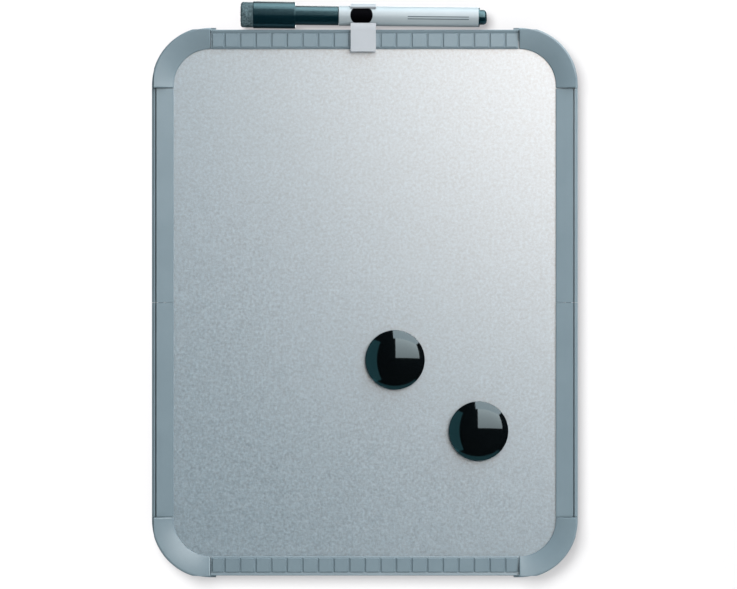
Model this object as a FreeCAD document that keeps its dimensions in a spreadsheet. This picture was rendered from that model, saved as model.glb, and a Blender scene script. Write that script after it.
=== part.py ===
import FreeCAD, Part
import math
import os
import Sketcher
from FreeCAD import Placement, Rotation, Vector

# A letter-size magnetic writing board for a wall, with a clip-on marker and two magnets.
# X is to the right, Z is up and the board faces -Y. The wall is the plane y = 0, so a depth
# in front of the wall is a distance along -Y. All lengths are in millimetres, angles in degrees.

doc = FreeCAD.newDocument("magnetic_board")
sheet = doc.addObject("Spreadsheet::Sheet", "Sizes")

SIZES = [
    # The board as a whole.
    ("board_width", 215.9),
    ("board_height", 279.4),
    ("frame_band", 11.1),
    ("corner_radius", 29.75),
    ("corner_leg", 1.15),
    # Depths, from the wall forwards.
    ("stand_off", 1.6),
    ("rear_lip", 1.5),
    ("liner_thickness", 0.2),
    ("core_thickness", 4.6),
    ("steel_thickness", 0.5),
    ("panel_play", 0.1),
    ("front_wall", 1.7),
    # How the panel sits in the frame.
    ("panel_bite", 4.0),
    ("panel_edge_gap", 0.2),
    # The channel in the back of the frame, and what plugs into it.
    ("channel_start", 3.0),
    ("channel_width", 2.6),
    ("channel_roof", 2.0),
    ("plug_height", 5.0),
    ("plug_play", 0.1),
    ("tongue_length", 9.0),
    ("joiner_length", 24.0),
    # Side rails.
    ("rim_width", 1.7),
    ("rim_drop", 0.4),
    ("rim_round", 0.9),
    ("line_width", 0.7),
    ("line_depth", 2.4),
    ("strip_fall", 6.5),
    ("strip_round", 0.4),
    ("seam_gap", 0.12),
    # Ribbed rails.
    ("rail_inset", 1.4),
    ("ledge_bevel", 0.35),
    ("ledge_width", 1.75),
    ("ledge_rise", 0.6),
    ("tile_rise", 0.6),
    ("tile_height", 7.1),
    ("tile_draft", 0.25),
    ("lip_round", 0.8),
    ("rib_pitch", 7.9),
    ("rib_gap", 1.3),
    ("rib_floor", 0.5),
    ("rib_count", 19),
    ("end_strip", 0.9),
    # Corner caps.
    ("flange_depth", 2.6),
    ("corner_gap", 0.25),
    ("rail_end_gap", 0.3),
    ("side_inset", 1.25),
    ("crown_rise", 2.65),
    ("crown_lean", 5.5),
    ("shoulder_round", 1.0),
    ("inner_round", 0.8),
    ("inner_lip", 0.15),
    ("end_round", 0.6),
    ("tab_length", 2.5),
    ("core_out_angle", 56.0),
    # Foam pads on the back.
    ("pad_size", 25.0),
    ("pad_inset", 45.0),
    # Marker clip.
    ("clip_width", 12.8),
    ("clip_offset", -0.8),
    ("clip_wall", 1.2),
    ("clip_play", 0.15),
    ("clip_gap", 0.2),
    ("leg_thickness", 1.1),
    ("leg_length", 9.0),
    ("plate_past", 1.5),
    ("catch_depth", 1.3),
    ("catch_slope", 0.5),
    ("lower_lip_angle", 47.0),
    ("upper_lip_angle", 42.0),
    ("lip_run", 3.3),
    # Marker.
    ("marker_tilt", 0.6),
    ("wall_gap", 0.25),
    ("head_gap", 0.35),
    ("barrel_radius", 5.05),
    ("barrel_wall", 0.9),
    ("barrel_length", 70.9),
    ("mouth_offset", 12.5),
    ("mouth_gap", 0.15),
    ("head_radius", 6.85),
    ("head_length", 21.4),
    ("sleeve_radius", 4.9),
    ("sleeve_length", 21.9),
    ("cap_edge", 0.3),
    ("cap_play", 0.08),
    ("neck_radius", 3.7),
    ("neck_length", 12.0),
    ("nose_radius", 2.5),
    ("nose_length", 4.0),
    ("chamber_radius", 3.0),
    ("chamber_length", 26.0),
    ("holder_plug", 8.0),
    ("fit_gap", 0.06),
    ("nib_radius", 1.8),
    ("nib_out", 4.2),
    ("nib_tail", 6.0),
    ("reservoir_gap", 0.25),
    ("end_plug_inside", 8.0),
    ("end_flange_radius", 4.95),
    ("end_flange_thickness", 0.6),
    ("end_dome_radius", 3.85),
    ("end_dome_length", 3.7),
    ("end_dome_round", 1.9),
    ("eraser_radius", 6.5),
    ("eraser_out", 6.4),
    ("eraser_round", 1.0),
    ("socket_radius", 5.4),
    ("socket_depth", 8.0),
    # Magnets.
    ("magnet_radius", 15.1),
    ("magnet_rim", 2.0),
    ("magnet_height", 7.4),
    ("disc_radius", 10.0),
    ("disc_thickness", 3.8),
    ("disc_gap", 0.1),
    ("magnet_1_from_right", 92.65),
    ("magnet_1_from_bottom", 110.7),
    ("magnet_2_from_right", 50.35),
    ("magnet_2_from_bottom", 74.6),
    # How far a cut runs past the surface it opens.
    ("overrun", 1.0),
]


class Size:
    """A number together with the sheet formula that gives it."""

    def __init__(self, value, text):
        self.value = value
        self.text = text

    def __add__(self, other):
        other = as_size(other)
        return Size(self.value + other.value, f"({self.text} + {other.text})")

    def __sub__(self, other):
        other = as_size(other)
        return Size(self.value - other.value, f"({self.text} - {other.text})")

    def __mul__(self, other):
        other = as_size(other)
        return Size(self.value * other.value, f"({self.text} * {other.text})")

    def __truediv__(self, other):
        other = as_size(other)
        return Size(self.value / other.value, f"({self.text} / {other.text})")

    def __neg__(self):
        return Size(-self.value, f"(-1 * {self.text})")


def as_size(number):
    return number if isinstance(number, Size) else Size(float(number), repr(number))


def root(size):
    return Size(math.sqrt(size.value), f"sqrt({size.text})")


def sine(size):
    return Size(math.sin(math.radians(size.value)), f"sin({size.text})")


def cosine(size):
    return Size(math.cos(math.radians(size.value)), f"cos({size.text})")


def larger(one, other):
    return Size(max(one.value, other.value), f"max({one.text}; {other.text})")


for row, (alias, number) in enumerate(SIZES, start=1):
    sheet.set(f"A{row}", alias)
    sheet.set(f"B{row}", str(number))
    sheet.setAlias(f"B{row}", alias)
doc.recompute()

size = {alias: Size(float(sheet.get(alias)), f"Sizes.{alias}") for alias, number in SIZES}
ZERO = as_size(0)


def bind(thing, prop, wanted):
    thing.setExpression(prop, as_size(wanted).text)


def new_body(name):
    body = doc.addObject("PartDesign::Body", name)
    body.Label = name
    return body


def place(thing, x, depth, z, turn=0):
    """Put an object at x, a depth in front of the wall and z, turned about Y."""
    thing.Placement = Placement(Vector(0, 0, 0), Rotation(Vector(0, 1, 0), turn))
    bind(thing, "Placement.Base.x", x)
    bind(thing, "Placement.Base.y", -as_size(depth))
    bind(thing, "Placement.Base.z", z)


def new_sketch(body, role, name, offset=None, turn=0):
    """A sketch on one of the body's own origin planes, moved along its normal by an offset."""
    sketch = body.newObject("Sketcher::SketchObject", f"{body.Name}_{name}")
    plane = [item for item in body.Origin.OriginFeatures if item.Role == role][0]
    sketch.AttachmentSupport = (plane, [""])
    sketch.MapMode = "FlatFace"
    sketch.AttachmentOffset = Placement(Vector(0, 0, 0), Rotation(Vector(0, 1, 0), turn))
    if offset is not None:
        bind(sketch, "AttachmentOffset.Base.z", offset)
    return sketch


def arc_centre(start, end, radius, turn, wide):
    """Where the centre of an arc lies; turn is 1 when it runs anticlockwise, -1 when clockwise."""
    middle_x = (start[0] + end[0]) / 2
    middle_y = (start[1] + end[1]) / 2
    step_x = end[0] - start[0]
    step_y = end[1] - start[1]
    chord = math.hypot(step_x, step_y)
    reach = math.sqrt(max(radius ** 2 - chord ** 2 / 4, 0))
    side = -turn if wide else turn
    return Vector(middle_x - side * reach * step_y / chord, middle_y + side * reach * step_x / chord, 0)


def outline(sketch, path):
    """Draw a closed outline and tie every corner and radius to the sheet.

    Each entry is (x, y) for a straight run that starts there, or (x, y, radius, turn, wide)
    for an arc that starts there and ends on the next entry's point.
    """
    path = [tuple(as_size(item) for item in entry[:2]) + tuple(entry[2:]) for entry in path]
    points = [(entry[0].value, entry[1].value) for entry in path]
    pieces = []
    for index, entry in enumerate(path):
        start = points[index]
        end = points[(index + 1) % len(path)]
        if len(entry) == 2:
            line = Part.LineSegment(Vector(start[0], start[1], 0), Vector(end[0], end[1], 0))
            pieces.append((sketch.addGeometry(line, False), 1, 2))
            continue
        radius, turn, wide = entry[2:]
        centre = arc_centre(start, end, radius.value, turn, wide)
        first, last = (start, end) if turn > 0 else (end, start)
        first_angle = math.atan2(first[1] - centre.y, first[0] - centre.x)
        last_angle = math.atan2(last[1] - centre.y, last[0] - centre.x)
        circle = Part.Circle(centre, Vector(0, 0, 1), radius.value)
        arc = Part.ArcOfCircle(circle, first_angle, last_angle)
        ends = (1, 2) if turn > 0 else (2, 1)
        pieces.append((sketch.addGeometry(arc, False),) + ends)
    for index, entry in enumerate(path):
        here = pieces[index]
        before = pieces[index - 1]
        sketch.addConstraint(Sketcher.Constraint("Coincident", before[0], before[2], here[0], here[1]))
        for kind, wanted in (("DistanceX", entry[0]), ("DistanceY", entry[1])):
            rule = Sketcher.Constraint(kind, -1, 1, here[0], here[1], wanted.value)
            bind(sketch, f"Constraints[{sketch.addConstraint(rule)}]", wanted)
        if len(entry) > 2:
            rule = Sketcher.Constraint("Radius", here[0], entry[2].value)
            bind(sketch, f"Constraints[{sketch.addConstraint(rule)}]", entry[2])


def box_path(x0, x1, y0, y1):
    return [(x0, y0), (x1, y0), (x1, y1), (x0, y1)]


def pad(body, sketch, name, length, back=False, both=False):
    feature = body.newObject("PartDesign::Pad", f"{body.Name}_{name}")
    feature.Profile = sketch
    feature.Reversed = back
    feature.SideType = "Symmetric" if both else "One side"
    bind(feature, "Length", length)
    body.Tip = feature
    return feature


def pocket(body, sketch, name, length, both=False):
    feature = body.newObject("PartDesign::Pocket", f"{body.Name}_{name}")
    feature.Profile = sketch
    feature.SideType = "Symmetric" if both else "One side"
    bind(feature, "Length", length)
    body.Tip = feature
    return feature


def revolve(body, sketch, name, kind, axis, angle, back=False, both=False):
    """A Revolution adds what the sketch sweeps about one of its own axes; a Groove takes it away."""
    feature = body.newObject(f"PartDesign::{kind}", f"{body.Name}_{name}")
    feature.Profile = sketch
    feature.ReferenceAxis = (sketch, [axis])
    feature.Reversed = back
    feature.Midplane = both
    bind(feature, "Angle", angle)
    body.Tip = feature
    return feature


def crown_end(crest, high, radius, centre, rounding):
    """Where a crowned top runs into a rounded edge whose centre lies this far in from the outline.

    Gives the point where the two arcs touch, and the depth at which the rounding meets the wall.
    """
    across = centre - crest
    inner = radius - rounding
    drop = root(inner * inner - across * across)
    share = radius / inner
    return crest + across * share, high - radius + drop * share, high - radius + drop


FULL_TURN = 360
HALF_TURN = 180
QUARTER_TURN = 90
EIGHTH_TURN = 45

# Levels in front of the wall.
frame_back = size["stand_off"]
slot_back = frame_back + size["rear_lip"]
liner_front = slot_back + size["liner_thickness"]
core_front = liner_front + size["core_thickness"]
panel_front = core_front + size["steel_thickness"]
slot_front = panel_front + size["panel_play"]
rail_face = slot_front + size["front_wall"]
channel_top = rail_face - size["channel_roof"]

# Distances in from the board's outline.
band = size["frame_band"]
panel_edge = band - size["panel_bite"]
slot_end = panel_edge - size["panel_edge_gap"]
channel_near = size["channel_start"]
channel_far = channel_near + size["channel_width"]
plug_near = channel_near + size["plug_play"]
plug_far = channel_far - size["plug_play"]
plug_top = channel_top - size["plug_play"]
plug_bottom = plug_top - size["plug_height"]

half_width = size["board_width"] / 2
half_height = size["board_height"] / 2
corner_x = half_width - size["corner_radius"]
corner_z = half_height - size["corner_radius"]


def plate(name, back, thickness):
    """A sheet of the panel's outline, with rounded corners that follow the corner caps."""
    body = new_body(name)
    sketch = new_sketch(body, "XZ_Plane", "outline", back)
    x = half_width - panel_edge
    z = half_height - panel_edge
    r = size["corner_radius"] - panel_edge
    outline(sketch, [
        (r - x, -z), (x - r, -z, r, 1, False),
        (x, r - z), (x, z - r, r, 1, False),
        (x - r, z), (r - x, z, r, 1, False),
        (-x, z - r), (-x, r - z, r, 1, False),
    ])
    pad(body, sketch, "sheet", thickness)
    return body


def slot_and_channel(turned):
    """The panel slot, rear lip and back channel that every rail has, ending at the outer back edge."""
    return [turned(u, d) for u, d in (
        (band, slot_front), (slot_end, slot_front), (slot_end, slot_back), (band, slot_back),
        (band, frame_back), (channel_far, frame_back), (channel_far, channel_top),
        (channel_near, channel_top), (channel_near, frame_back),
    )]


def side_rail(name, x, z, turn):
    """Half of one side: a rim, a fine line and a strip that slopes down towards the panel."""
    body = new_body(name)
    sketch = new_sketch(body, "XY_Plane", "section")
    rim_top = rail_face - size["rim_drop"]
    line_near = size["rim_width"]
    line_far = line_near + size["line_width"]
    line_floor = rail_face - size["line_depth"]
    edge = size["strip_round"]
    fall = size["strip_fall"]
    touch = band - edge + edge * sine(fall)
    touch_depth = rail_face - (touch - line_far) * sine(fall) / cosine(fall)
    wall_top = touch_depth - edge * cosine(fall)
    outline(sketch, [
        (ZERO, -frame_back),
        (ZERO, size["rim_round"] - rim_top, size["rim_round"], -1, False),
        (size["rim_round"], -rim_top),
        (line_near, -rim_top),
        (line_near, -line_floor),
        (line_far, -line_floor),
        (line_far, -rail_face),
        (touch, -touch_depth, edge, 1, False),
        (band, -wall_top),
    ] + slot_and_channel(lambda u, d: (u, -d)))
    pad(body, sketch, "rail", side_length)
    place(body, x, ZERO, z, turn)
    return body


def ribbed_rail(name, z, turn):
    """The top or bottom rail: a ledge that slopes inwards, a row of raised tiles and a round lip."""
    body = new_body(name)
    sketch = new_sketch(body, "YZ_Plane", "section")
    near = size["rail_inset"]
    base = rail_face - size["tile_rise"]
    tile_near = near + size["ledge_width"]
    tile_far = tile_near + size["tile_height"]
    crest = base + size["ledge_rise"]
    bevel = size["ledge_bevel"]
    draft = size["tile_draft"]
    lip = size["lip_round"]
    outline(sketch, [
        (-frame_back, -near),
        (bevel - crest, -near),
        (-crest, -near - bevel),
        (-base, -tile_near),
        (-rail_face, -tile_near - draft),
        (-rail_face, draft - tile_far),
        (-base, -tile_far),
        (-base, lip - band, lip, 1, False),
        (lip - base, -band),
    ] + slot_and_channel(lambda u, d: (-d, -u)))
    length = size["board_width"] - size["corner_radius"] * 2 - size["rail_end_gap"] * 2
    pad(body, sketch, "rail", length, both=True)
    # The tiles stop a little short of both ends.
    for hand, label in ((-1, "left"), (1, "right")):
        end = new_sketch(body, "XY_Plane", f"{label}_end", -tile_near)
        outline(end, box_path((length / 2 - size["end_strip"]) * hand, (length / 2 + size["overrun"]) * hand,
                              -rail_face - size["overrun"], -base))
        pocket(body, end, f"{label}_end_cut", size["tile_height"])
    # One groove with sloping walls across the tiles at the left end, then the row of them.
    groove = new_sketch(body, "XY_Plane", "groove", -tile_near)
    row = size["rib_pitch"] * (size["rib_count"] - 1)
    first = -row / 2
    half_gap = size["rib_gap"] / 2
    half_floor = size["rib_floor"] / 2
    outline(groove, [
        (first - half_floor, -base), (first + half_floor, -base),
        (first + half_gap, -rail_face), (first - half_gap, -rail_face),
    ])
    cut = pocket(body, groove, "groove_cut", size["tile_height"])
    pattern = body.newObject("PartDesign::LinearPattern", f"{name}_grooves")
    pattern.Originals = [cut]
    pattern.Direction = (groove, ["H_Axis"])
    bind(pattern, "Length", row)
    bind(pattern, "Occurrences", size["rib_count"])
    body.Tip = pattern
    place(body, ZERO, ZERO, z, turn)
    return body


def corner_cap(name, hand, x, z, turn):
    """A crowned quarter ring that falls inwards; hand is -1 when it lies to the left, 1 to the right."""
    body = new_body(name)
    outer = size["corner_radius"]
    high = rail_face + size["crown_rise"]
    crest = -size["crown_lean"]
    shoulder = size["shoulder_round"]
    inner = size["inner_round"]
    # The crown would be level at a crest outside the outline, so all of it leans inwards. It leaves a low
    # wall in front of the slot at the inner edge.
    fall = high - slot_front - size["inner_lip"]
    reach = band - inner - crest
    crown = (reach * reach + fall * fall - inner * inner) / ((fall - inner) * 2)
    near, near_depth, outer_top = crown_end(crest, high, crown, shoulder, shoulder)
    far, far_depth, inner_top = crown_end(crest, high, crown, band - inner, inner)
    flange_front = frame_back + size["flange_depth"]

    def across(u):
        return (outer - u) * hand

    sketch = new_sketch(body, "XY_Plane", "section")
    outline(sketch, [
        (across(ZERO), -frame_back),
        (across(ZERO), -outer_top, shoulder, -hand, False),
        (across(near), -near_depth, crown, -hand, False),
        (across(far), -far_depth, inner, -hand, False),
        (across(band), -inner_top),
        (across(band), -slot_front),
        (across(slot_end), -slot_front),
        (across(slot_end), -slot_back),
        (across(band), -slot_back),
        (across(band), -frame_back),
    ])
    revolve(body, sketch, "bend", "Revolution", "V_Axis", QUARTER_TURN, back=hand > 0)
    pad(body, sketch, "leg", size["corner_leg"], back=True)
    # In front of the flange the ring stops level with the ribbed rail.
    trim = new_sketch(body, "YZ_Plane", "trim")
    level = outer - size["rail_inset"]
    outline(trim, [
        (-flange_front, outer),
        (-flange_front, outer + size["overrun"]),
        (-high - size["overrun"], outer + size["overrun"]),
        (-high - size["overrun"], level),
        (-flange_front - size["rail_inset"], level),
    ])
    pocket(body, trim, "trim_cut", outer * 2, both=True)
    # Beside the side rail it stops short as well, so that the rail's rim runs on past the joint.
    side_trim = new_sketch(body, "XY_Plane", "side_trim")
    rim_top = rail_face - size["rim_drop"]
    outline(side_trim, [
        (across(ZERO), size["rim_round"] - rim_top),
        (across(-size["overrun"]), size["rim_round"] - rim_top),
        (across(-size["overrun"]), -high - size["overrun"]),
        (across(size["side_inset"]), -high - size["overrun"]),
        (across(size["side_inset"]), -rim_top),
    ])
    pocket(body, side_trim, "side_trim_cut", outer * 2, both=True)
    round_ends(body)
    # Tongues that enter the channels of the two rails.
    side = new_sketch(body, "XY_Plane", "side_tongue", -size["corner_leg"])
    outline(side, box_path(across(plug_near), across(plug_far), -plug_top, -plug_bottom))
    pad(body, side, "side_plug", size["tongue_length"], back=True)
    end = new_sketch(body, "YZ_Plane", "end_tongue")
    outline(end, box_path(-plug_top, -plug_bottom, outer - plug_far, outer - plug_near))
    pad(body, end, "end_plug", size["tongue_length"], back=hand > 0)
    # The flange runs on a little, outside the ribbed rail.
    tab = new_sketch(body, "YZ_Plane", "tab")
    tab_low = outer - size["rail_inset"] + size["plug_play"]
    outline(tab, box_path(-flange_front, -frame_back, tab_low, outer))
    pad(body, tab, "tab_run", size["tab_length"], back=hand > 0)
    # The back is cored out between the tongues.
    hollow = new_sketch(body, "XY_Plane", "hollow", turn=-hand * EIGHTH_TURN)
    opening = size["overrun"] - frame_back
    outline(hollow, box_path(across(channel_near), across(channel_far), -channel_top, opening))
    revolve(body, hollow, "core_out", "Groove", "V_Axis", size["core_out_angle"], both=True)
    place(body, x, ZERO, z, turn)
    return body


def round_ends(body):
    """Round the curved front edges of a corner cap's two flat ends."""
    doc.recompute()
    ring = body.Tip
    ends = [face for face in ring.Shape.Faces
            if face.Surface.TypeId == "Part::GeomPlane" and round(face.normalAt(0, 0).y) == 0]
    arcs = [edge for face in ends for edge in face.Edges if edge.Curve.TypeId == "Part::GeomCircle"]
    names = [f"Edge{number}" for number, edge in enumerate(ring.Shape.Edges, start=1)
             if any(edge.isSame(arc) for arc in arcs)]
    feature = body.newObject("PartDesign::Fillet", f"{body.Name}_end_rounds")
    feature.Base = (ring, names)
    bind(feature, "Radius", size["end_round"])
    body.Tip = feature


def block(name, x0, x1, d0, d1, z0, z1):
    """A plain rectangular bar between two depths in front of the wall."""
    bar = doc.addObject("Part::Box", name)
    bar.Label = name
    bind(bar, "Length", x1 - x0)
    bind(bar, "Width", d1 - d0)
    bind(bar, "Height", z1 - z0)
    place(bar, x0, d1, z0)
    return bar


# Panel.
plate("back_liner", slot_back, size["liner_thickness"])
plate("core_board", liner_front, size["core_thickness"])
plate("writing_panel", core_front, size["steel_thickness"])

# Side rails, each in two halves that meet at the seam.
half_seam = size["seam_gap"] / 2
side_length = corner_z - size["corner_leg"] - size["corner_gap"] - half_seam
side_rail("left_upper_rail", -half_width, half_seam, 0)
side_rail("left_lower_rail", -half_width, -half_seam - side_length, 0)
side_rail("right_upper_rail", half_width, half_seam + side_length, HALF_TURN)
side_rail("right_lower_rail", half_width, -half_seam, HALF_TURN)

# Bars in the side channels that bridge the seams.
reach = size["joiner_length"] / 2
block("left_rail_joiner", plug_near - half_width, plug_far - half_width,
      plug_bottom, plug_top, -reach, reach)
block("right_rail_joiner", half_width - plug_far, half_width - plug_near,
      plug_bottom, plug_top, -reach, reach)

ribbed_rail("top_rail", half_height, 0)
ribbed_rail("bottom_rail", -half_height, HALF_TURN)

corner_cap("corner_top_left", -1, -corner_x, corner_z, 0)
corner_cap("corner_top_right", 1, corner_x, corner_z, 0)
corner_cap("corner_bottom_right", -1, corner_x, -corner_z, HALF_TURN)
corner_cap("corner_bottom_left", 1, -corner_x, -corner_z, HALF_TURN)

# Foam pads between the liner and the wall.
pad_far_x = half_width - size["pad_inset"] + size["pad_size"] / 2
pad_near_x = pad_far_x - size["pad_size"]
pad_far_z = half_height - size["pad_inset"] + size["pad_size"] / 2
pad_near_z = pad_far_z - size["pad_size"]
block("mounting_pad_1", -pad_far_x, -pad_near_x, ZERO, slot_back, pad_near_z, pad_far_z)
block("mounting_pad_2", pad_near_x, pad_far_x, ZERO, slot_back, pad_near_z, pad_far_z)
block("mounting_pad_3", -pad_far_x, -pad_near_x, ZERO, slot_back, -pad_far_z, -pad_near_z)
block("mounting_pad_4", pad_near_x, pad_far_x, ZERO, slot_back, -pad_far_z, -pad_near_z)

# Marker clip. Its ring is centred on the marker's axis, which clears the wall and the rail.
ring_inner = size["barrel_radius"] + size["clip_play"]
ring_outer = ring_inner + size["clip_wall"]
widest = larger(size["head_radius"], ring_outer)
axis_depth = size["wall_gap"] + widest
rail_top = half_height - size["rail_inset"]
axis_z = rail_top + size["head_gap"] + widest


def marker_clip():
    body = new_body("marker_clip")
    sketch = new_sketch(body, "YZ_Plane", "section")
    plate_back = rail_face + size["clip_gap"]
    plate_front = plate_back + size["clip_wall"]
    plate_bottom = half_height - band - size["plate_past"]
    bridge = rail_top + size["clip_gap"]
    leg_front = frame_back - size["clip_play"]
    leg_back = leg_front - size["leg_thickness"]
    leg_bottom = rail_top - size["leg_length"]
    low = size["lower_lip_angle"]
    high = size["upper_lip_angle"]
    lip_depth = axis_depth + ring_inner * cosine(low)
    lip_z = axis_z - ring_inner * sine(low)
    curve = ((plate_front - lip_depth) * (plate_front - lip_depth)
             + size["lip_run"] * size["lip_run"]) / ((plate_front - lip_depth) * 2)
    catch_top = half_height - band - size["clip_gap"]
    catch_tip = plate_back - size["catch_depth"]
    outline(sketch, [
        (-plate_front, plate_bottom),
        (-plate_front, lip_z - size["lip_run"], curve, -1, False),
        (-lip_depth, lip_z, ring_inner, 1, True),
        (-axis_depth - ring_inner * cosine(high), axis_z + ring_inner * sine(high)),
        (-axis_depth - ring_outer * cosine(high), axis_z + ring_outer * sine(high), ring_outer, -1, False),
        (ring_outer - axis_depth, axis_z),
        (-leg_back, bridge),
        (-leg_back, leg_bottom),
        (-leg_front, leg_bottom),
        (-leg_front, bridge),
        (-plate_back, bridge),
        (-plate_back, catch_top),
        (-catch_tip, catch_top - size["catch_slope"] / 2),
        (-catch_tip, catch_top - size["catch_slope"]),
        (-plate_back, plate_bottom),
    ])
    pad(body, sketch, "moulding", size["clip_width"], both=True)
    place(body, size["clip_offset"], ZERO, ZERO)
    return body


marker_clip()

# Marker. Lengths run along its axis from the middle of the clip, to the right.
mouth = -size["mouth_offset"]
step = mouth - size["sleeve_length"]
head_end = step - size["head_length"]
barrel_start = mouth + size["mouth_gap"]
barrel_end = mouth + size["barrel_length"]
barrel_inner = size["barrel_radius"] - size["barrel_wall"]
neck_end = mouth - size["neck_length"]
nose_end = neck_end - size["nose_length"]
holder_end = barrel_start + size["holder_plug"]
nib_hole = size["nib_radius"] + size["fit_gap"]
fibre_start = holder_end + size["reservoir_gap"]
nib_end = fibre_start + size["nib_tail"]
plug_start = barrel_end - size["end_plug_inside"]


def turned_piece(name, path):
    """A piece turned about the marker's axis, drawn as (length along the axis, radius)."""
    body = new_body(name)
    sketch = new_sketch(body, "XZ_Plane", "section")
    outline(sketch, path)
    revolve(body, sketch, "turned", "Revolution", "H_Axis", FULL_TURN)
    place(body, size["clip_offset"], axis_depth, axis_z)
    bind(body, "Placement.Rotation.Angle", size["marker_tilt"])
    return body


turned_piece("marker_barrel", box_path(barrel_start, barrel_end, barrel_inner, size["barrel_radius"]))

turned_piece("nib_holder", [
    (nose_end, nib_hole),
    (holder_end, nib_hole),
    (holder_end, barrel_inner - size["fit_gap"]),
    (barrel_start, barrel_inner - size["fit_gap"]),
    (barrel_start, size["neck_radius"]),
    (neck_end, size["neck_radius"]),
    (nose_end, size["nose_radius"]),
])

nib_tip = nose_end - size["nib_out"]
turned_piece("nib", [
    (nib_tip, ZERO),
    (nib_end, ZERO),
    (nib_end, size["nib_radius"]),
    (nib_tip + size["nib_radius"], size["nib_radius"], size["nib_radius"], 1, False),
])

turned_piece("ink_reservoir", [
    (fibre_start, nib_hole),
    (nib_end + size["reservoir_gap"], nib_hole),
    (nib_end + size["reservoir_gap"], ZERO),
    (plug_start - size["reservoir_gap"], ZERO),
    (plug_start - size["reservoir_gap"], barrel_inner - size["reservoir_gap"]),
    (fibre_start, barrel_inner - size["reservoir_gap"]),
])

flange_end = barrel_end + size["end_flange_thickness"]
dome_end = flange_end + size["end_dome_length"]
dome_round = size["end_dome_round"]
turned_piece("end_plug", [
    (plug_start, ZERO),
    (dome_end, ZERO),
    (dome_end, size["end_dome_radius"] - dome_round, dome_round, 1, False),
    (dome_end - dome_round, size["end_dome_radius"]),
    (flange_end, size["end_dome_radius"]),
    (flange_end, size["end_flange_radius"]),
    (barrel_end, size["end_flange_radius"]),
    (barrel_end, barrel_inner - size["fit_gap"]),
    (plug_start, barrel_inner - size["fit_gap"]),
])

cap_bore = size["neck_radius"] + size["cap_play"]
edge = size["cap_edge"]
socket_end = head_end + size["socket_depth"]
chamber_end = mouth - size["chamber_length"]
turned_piece("marker_cap", [
    (socket_end, ZERO),
    (chamber_end, ZERO),
    (chamber_end, size["chamber_radius"]),
    (nose_end, size["chamber_radius"]),
    (neck_end - edge, cap_bore),
    (mouth, cap_bore),
    (mouth, size["sleeve_radius"] - edge),
    (mouth - edge, size["sleeve_radius"]),
    (step, size["sleeve_radius"]),
    (step, size["head_radius"] - edge, edge, 1, False),
    (step - edge, size["head_radius"]),
    (head_end + edge, size["head_radius"], edge, 1, False),
    (head_end, size["head_radius"] - edge),
    (head_end, size["socket_radius"]),
    (socket_end, size["socket_radius"]),
])

eraser_end = head_end - size["eraser_out"]
eraser_round = size["eraser_round"]
turned_piece("eraser_pad", [
    (eraser_end, ZERO),
    (socket_end - size["fit_gap"], ZERO),
    (socket_end - size["fit_gap"], size["socket_radius"] - size["fit_gap"]),
    (head_end, size["socket_radius"] - size["fit_gap"]),
    (head_end, size["eraser_radius"]),
    (eraser_end + eraser_round, size["eraser_radius"], eraser_round, 1, False),
    (eraser_end, size["eraser_radius"] - eraser_round),
])


def magnet_piece(name, path, x, z):
    """A piece turned about the magnet's own axis, drawn as (radius, height off the panel)."""
    body = new_body(name)
    sketch = new_sketch(body, "XY_Plane", "section")
    outline(sketch, path)
    revolve(body, sketch, "turned", "Revolution", "V_Axis", FULL_TURN)
    place(body, x, panel_front, z)
    return body


recess_radius = size["disc_radius"] + size["disc_gap"]
recess_depth = size["disc_thickness"] + size["disc_gap"]
dome_rise = size["magnet_height"] - size["magnet_rim"]
dome_radius = (size["magnet_radius"] * size["magnet_radius"] + dome_rise * dome_rise) / (dome_rise * 2)
for number in ("1", "2"):
    magnet_x = half_width - size[f"magnet_{number}_from_right"]
    magnet_z = size[f"magnet_{number}_from_bottom"] - half_height
    magnet_piece(f"magnet_{number}_dome", [
        (recess_radius, ZERO),
        (recess_radius, -recess_depth),
        (ZERO, -recess_depth),
        (ZERO, -size["magnet_height"], dome_radius, 1, False),
        (size["magnet_radius"], -size["magnet_rim"]),
        (size["magnet_radius"], ZERO),
    ], magnet_x, magnet_z)
    disc_path = box_path(ZERO, size["disc_radius"], -size["disc_thickness"], ZERO)
    magnet_piece(f"magnet_{number}_disc", disc_path, magnet_x, magnet_z)

doc.recompute()

for item in doc.Objects:
    if "Invalid" in item.State or "Error" in item.State:
        raise RuntimeError(f"{item.Name} did not rebuild: {item.State}")

os.makedirs("parts", exist_ok=True)
nodes = [item for item in doc.Objects if item.TypeId in ("PartDesign::Body", "Part::Box")]
for item in nodes:
    if item.Shape.isNull() or not item.Shape.isValid() or len(item.Shape.Solids) != 1:
        raise RuntimeError(f"{item.Label} is not one sound solid")
    item.Shape.exportStep(f"parts/{item.Label}.step")
print(f"{len(nodes)} parts written")
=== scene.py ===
# %% [markdown]
# # A magnetic board with its marker and magnets
# The board is a thin painted steel sheet in a frame of moulded plastic. A marker hangs in a clip on the
# top rail and two domed magnets sit on the sheet. The construction model gives every piece its place and
# size, in metres, with the wall at y = 0 and the front facing -Y. The cells below light that model, give
# each piece its finish, and rebuild the few pieces that are soft or that mirror the lamps.

# %% Load the construction model
import math

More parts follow.
